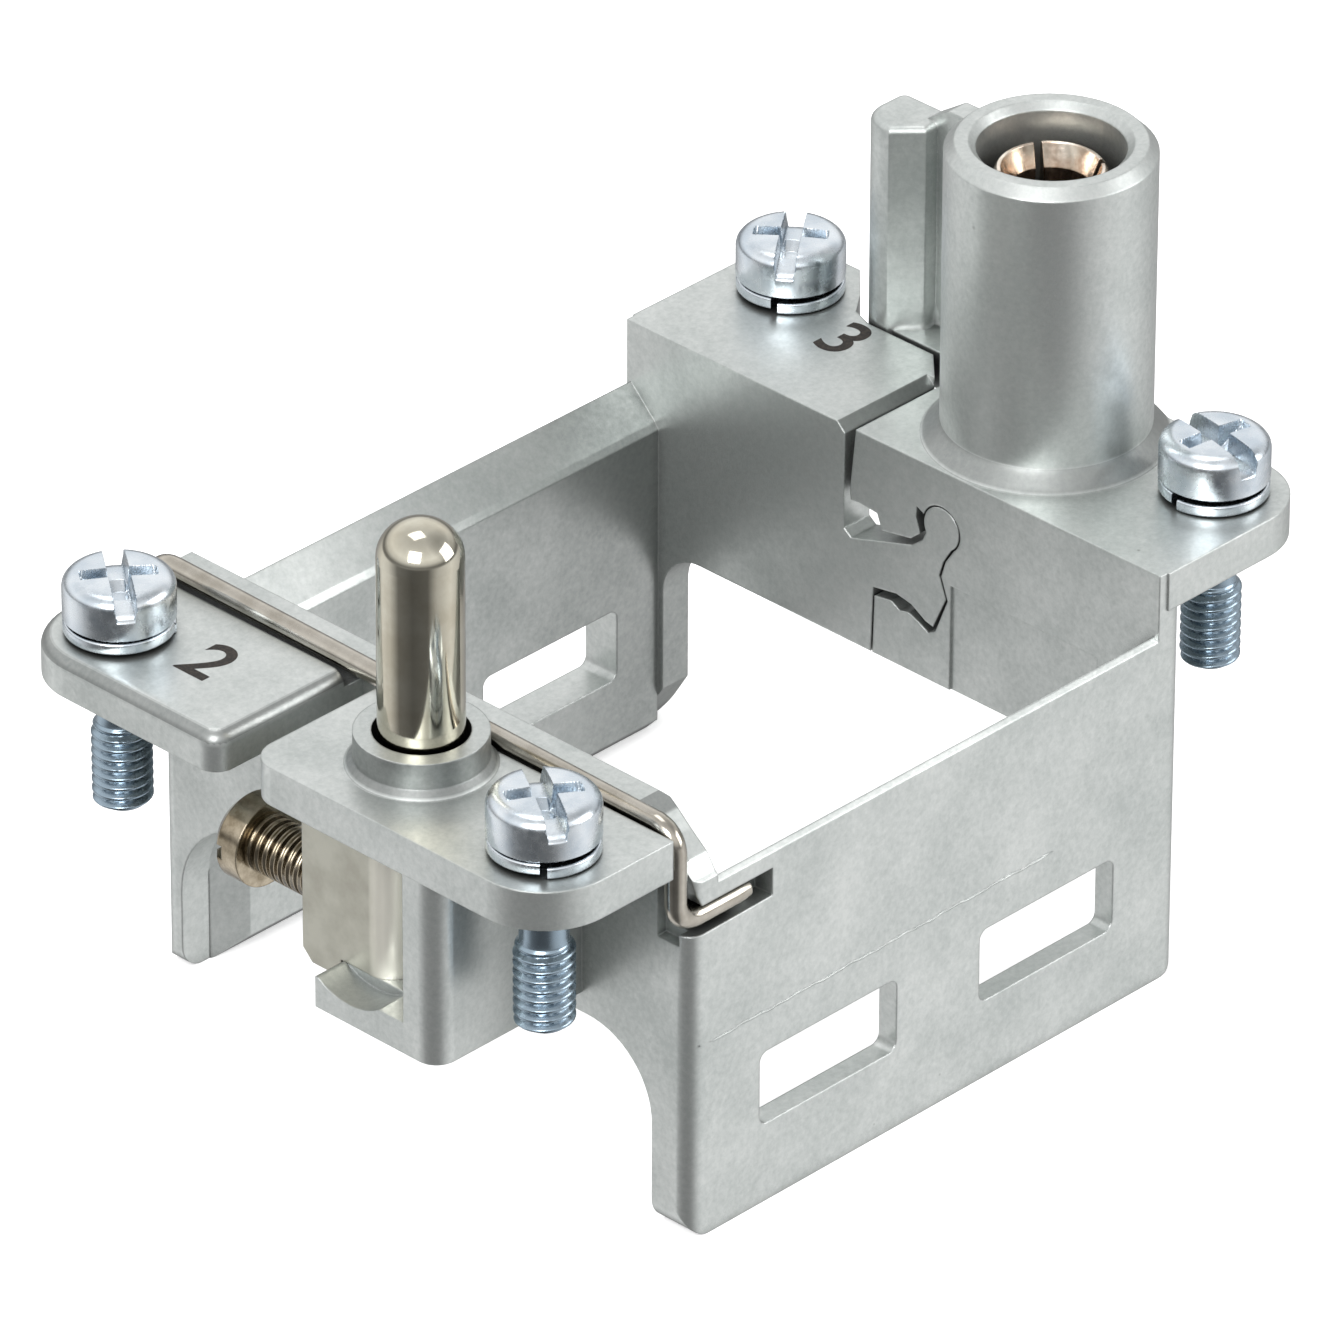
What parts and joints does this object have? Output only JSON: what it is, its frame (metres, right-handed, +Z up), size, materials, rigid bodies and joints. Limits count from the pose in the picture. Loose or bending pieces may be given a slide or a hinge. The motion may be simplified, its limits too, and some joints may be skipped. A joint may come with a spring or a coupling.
{
  "type": "heavy duty rectangular connector module frame",
  "caption": "Hinged die-cast module frame of a rectangular power connector with earth pin, socket tower, latch wire and fixing screws.",
  "frame": {"origin": "centre of the four fixing screws, at the level where their threads start, 2.6 mm under the mounting flanges", "axes": "+X along the frame towards the socket tower, +Y across it towards the rear half, +Z up along the socket tower"},
  "size_m": [0.0512, 0.0342, 0.0374],
  "materials": {
    "zinc_casting": "matt die-cast zinc",
    "zinc_plated_steel": "bright zinc-plated steel",
    "nickel_contact": "polished nickel-plated copper alloy",
    "spring_steel": "bright drawn spring wire",
    "brass": "nickel-flashed brass"
  },
  "bodies": {
    "front_half": {"front_half": "zinc_casting", "pe_pin": "nickel_contact", "pe_terminal_body": "nickel_contact", "pe_socket_contact": "brass", "latch_wire": "spring_steel", "lock_washer_2": "zinc_plated_steel", "lock_washer_4": "zinc_plated_steel"},
    "back_half": {"back_half": "zinc_casting", "lock_washer_1": "zinc_plated_steel", "lock_washer_3": "zinc_plated_steel"},
    "clamp_screw": {"pe_clamp_screw": "brass"},
    "screw_1": {"fixing_screw_1": "zinc_plated_steel"},
    "screw_2": {"fixing_screw_2": "zinc_plated_steel"},
    "screw_3": {"fixing_screw_3": "zinc_plated_steel"},
    "screw_4": {"fixing_screw_4": "zinc_plated_steel"}
  },
  "joints": [
    {"name": "frame_hinge", "type": "hinge", "parent": "front_half", "child": "back_half", "pos_m": [0, -0.00335, 0.0015], "axis": [1, 0, 0], "range_deg": [0, 7], "stiffness_Nm_per_rad": 0.5, "springref_deg": -5.73, "deforming": ["latch_wire"]},
    {"name": "clamp_turn", "type": "hinge", "parent": "front_half", "child": "clamp_screw", "pos_m": [-0.0214, 0.002, -0.00315], "axis": [0, 1, 0], "continuous": true},
    {"name": "screw_1_turn", "type": "hinge", "parent": "back_half", "child": "screw_1", "pos_m": [-0.022, 0.0135, 0], "axis": [0, 0, 1], "continuous": true},
    {"name": "screw_2_turn", "type": "hinge", "parent": "front_half", "child": "screw_2", "pos_m": [-0.022, -0.0135, 0], "axis": [0, 0, 1], "continuous": true},
    {"name": "screw_3_turn", "type": "hinge", "parent": "back_half", "child": "screw_3", "pos_m": [0.022, 0.0135, 0], "axis": [0, 0, 1], "continuous": true},
    {"name": "screw_4_turn", "type": "hinge", "parent": "front_half", "child": "screw_4", "pos_m": [0.022, -0.0135, 0], "axis": [0, 0, 1], "continuous": true}
  ]
}
